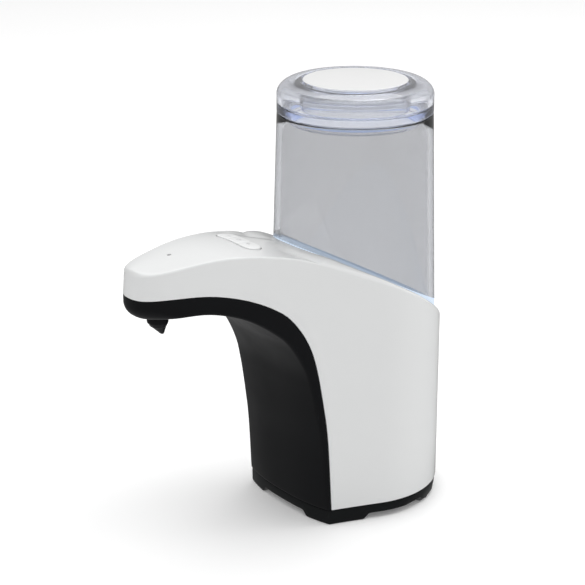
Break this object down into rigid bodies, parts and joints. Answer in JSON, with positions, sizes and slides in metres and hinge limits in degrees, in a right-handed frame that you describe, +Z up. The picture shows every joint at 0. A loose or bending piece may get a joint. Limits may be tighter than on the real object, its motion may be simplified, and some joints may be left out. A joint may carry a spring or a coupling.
{
  "type": "touchless soap dispenser",
  "caption": "Free-standing touchless soap dispenser: clear lidded reservoir on a white teardrop body with a black front, forward arm and nozzle.",
  "frame": {"origin": "on the table under the middle of the object's box", "axes": "+Z up, the nose points along -Y, +X is the object's left seen from its front"},
  "size_m": [0.086, 0.1722, 0.2102],
  "materials": {
    "shell_white": "smooth gloss moulding",
    "disc_white": "smooth gloss moulding",
    "key_white": "smooth gloss moulding",
    "cover_black": "fine satin texture",
    "nozzle_black": "satin moulding",
    "base_black": "satin moulding",
    "tank_clear": "clear plastic, polished",
    "lid_clear": "clear plastic, polished",
    "window_dark": "dark infrared window, polished",
    "lens": "clear lens",
    "foot_rubber": "matt",
    "silicone": "translucent satin",
    "nylon": "natural nylon",
    "steel": "bright",
    "spring_nickel": "nickel plated",
    "grey_plastic": "satin moulding",
    "board": "solder mask",
    "switch": "moulded",
    "cell": "plain printed sleeve",
    "lead": "insulated lead"
  },
  "bodies": {
    "housing": {"upper_shell": "shell_white", "front_cover": "cover_black", "nozzle": "nozzle_black", "base_plate": "base_black", "reservoir": "tank_clear", "sensor_window": "window_dark", "status_lens": "lens", "ir_emitter": "lens", "ir_receiver": "lens", "foot_pad_1": "foot_rubber", "foot_pad_2": "foot_rubber", "foot_pad_3": "foot_rubber", "foot_pad_4": "foot_rubber", "nozzle_valve": "silicone", "inlet_tube": "silicone", "outlet_tube": "silicone", "motor_end_cap": "nylon", "motor_can": "steel", "idler_pin": "steel", "base_screw_1": "steel", "base_screw_2": "steel", "base_screw_3": "steel", "base_screw_4": "steel", "battery_spring_2": "spring_nickel", "battery_spring_4": "spring_nickel", "top_contact_1": "spring_nickel", "top_contact_2": "spring_nickel", "top_contact_3": "spring_nickel", "battery_box": "grey_plastic", "gear_bracket": "grey_plastic", "pump_housing": "grey_plastic", "pump_cover": "grey_plastic", "control_board": "board", "sensor_board": "board", "switch_minus": "switch", "switch_power": "switch", "switch_plus": "switch", "battery_cell_1": "cell", "battery_cell_2": "cell", "battery_cell_3": "cell", "battery_cell_4": "cell", "sensor_lead": "lead", "motor_lead": "lead"},
    "lid": {"lid": "lid_clear", "lid_disc": "disc_white", "lid_seal": "silicone"},
    "key_minus": {"key_minus": "key_white"},
    "key_power": {"key_power": "key_white"},
    "key_plus": {"key_plus": "key_white"},
    "battery_door": {"battery_door": "base_black", "door_contact_1": "spring_nickel", "door_contact_2": "spring_nickel", "battery_spring_1": "spring_nickel", "battery_spring_3": "spring_nickel"},
    "motor_rotor": {"motor_shaft": "steel", "motor_pinion": "nylon"},
    "pump_drive": {"pump_shaft": "steel", "reduction_gear": "nylon", "drive_rotor": "nylon"},
    "pump_idler": {"idler_rotor": "nylon"}
  },
  "joints": [
    {"name": "lid_lift", "type": "slide", "parent": "housing", "child": "lid", "axis": [0, 0, 1], "range_m": [0, 0.06]},
    {"name": "key_minus_press", "type": "slide", "parent": "housing", "child": "key_minus", "axis": [0, -0.1219, -0.9925], "range_m": [0, 0.0005], "stiffness_N_per_m": 900, "springref_m": -0.0004},
    {"name": "key_power_press", "type": "slide", "parent": "housing", "child": "key_power", "axis": [0, -0.1219, -0.9925], "range_m": [0, 0.0005], "stiffness_N_per_m": 900, "springref_m": -0.0004},
    {"name": "key_plus_press", "type": "slide", "parent": "housing", "child": "key_plus", "axis": [0, -0.1219, -0.9925], "range_m": [0, 0.0005], "stiffness_N_per_m": 900, "springref_m": -0.0004},
    {"name": "battery_door_swing", "type": "hinge", "parent": "housing", "child": "battery_door", "pos_m": [0, 0.05187, 0.004], "axis": [1, 0, 0], "range_deg": [0, 95]},
    {"name": "pump_turn", "type": "hinge", "parent": "housing", "child": "pump_drive", "pos_m": [0.005, 0.01908, 0.06], "axis": [0, 0, 1], "continuous": true},
    {"name": "motor_turn", "type": "hinge", "parent": "housing", "child": "motor_rotor", "pos_m": [-0.01, 0.01908, 0.06], "axis": [0, 0, 1], "continuous": true},
    {"name": "idler_turn", "type": "hinge", "parent": "housing", "child": "pump_idler", "pos_m": [0.017, 0.01908, 0.07], "axis": [0, 0, 1], "continuous": true}
  ],
  "couplings": [
    {"joint": "motor_turn", "follows": "pump_turn", "ratio": -4},
    {"joint": "idler_turn", "follows": "pump_turn", "ratio": -1}
  ]
}
